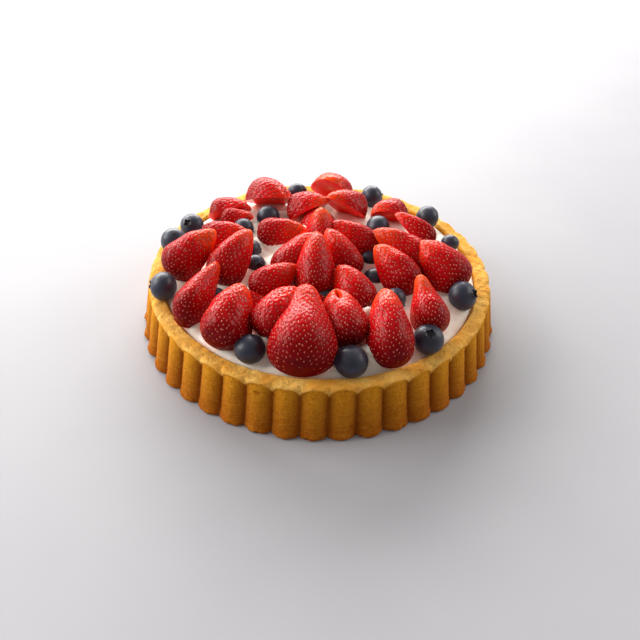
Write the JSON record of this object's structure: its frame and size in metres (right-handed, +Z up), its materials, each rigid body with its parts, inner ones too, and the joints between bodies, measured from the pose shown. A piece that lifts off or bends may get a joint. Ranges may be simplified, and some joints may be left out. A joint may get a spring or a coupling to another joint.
{
  "type": "fruit tart",
  "caption": "Round fluted sponge tart case filled with white cream and heaped with halved strawberries and whole blueberries.",
  "frame": {"origin": "centre of the tart's underside, on the surface it stands on", "axes": "+Z up along the tart's axis; -Y towards the side that faces the viewer in the picture; +X to that viewer's right"},
  "size_m": [0.171, 0.171, 0.0506],
  "materials": {
    "crust": null,
    "cream": null,
    "strawberry": null,
    "blueberry": null
  },
  "bodies": {
    "root": {"blueberry_01": "blueberry", "blueberry_02": "blueberry", "blueberry_03": "blueberry", "blueberry_04": "blueberry", "blueberry_05": "blueberry", "blueberry_06": "blueberry", "blueberry_07": "blueberry", "blueberry_08": "blueberry", "blueberry_09": "blueberry", "blueberry_10": "blueberry", "blueberry_11": "blueberry", "blueberry_12": "blueberry", "blueberry_13": "blueberry", "blueberry_14": "blueberry", "blueberry_15": "blueberry", "blueberry_16": "blueberry", "blueberry_17": "blueberry", "blueberry_18": "blueberry", "blueberry_19": "blueberry", "blueberry_20": "blueberry", "blueberry_21": "blueberry", "blueberry_22": "blueberry", "cream": "cream", "crust": "crust", "strawberry_01": "strawberry", "strawberry_02": "strawberry", "strawberry_03": "strawberry", "strawberry_04": "strawberry", "strawberry_05": "strawberry", "strawberry_06": "strawberry", "strawberry_07": "strawberry", "strawberry_08": "strawberry", "strawberry_09": "strawberry", "strawberry_10": "strawberry", "strawberry_11": "strawberry", "strawberry_12": "strawberry", "strawberry_13": "strawberry", "strawberry_14": "strawberry", "strawberry_15": "strawberry", "strawberry_16": "strawberry", "strawberry_17": "strawberry", "strawberry_18": "strawberry", "strawberry_19": "strawberry", "strawberry_20": "strawberry", "strawberry_21": "strawberry", "strawberry_22": "strawberry", "strawberry_23": "strawberry", "strawberry_24": "strawberry", "strawberry_25": "strawberry", "strawberry_26": "strawberry", "strawberry_27": "strawberry", "strawberry_28": "strawberry", "strawberry_29": "strawberry", "strawberry_30": "strawberry", "strawberry_31": "strawberry", "strawberry_32": "strawberry"}
  },
  "joints": []
}
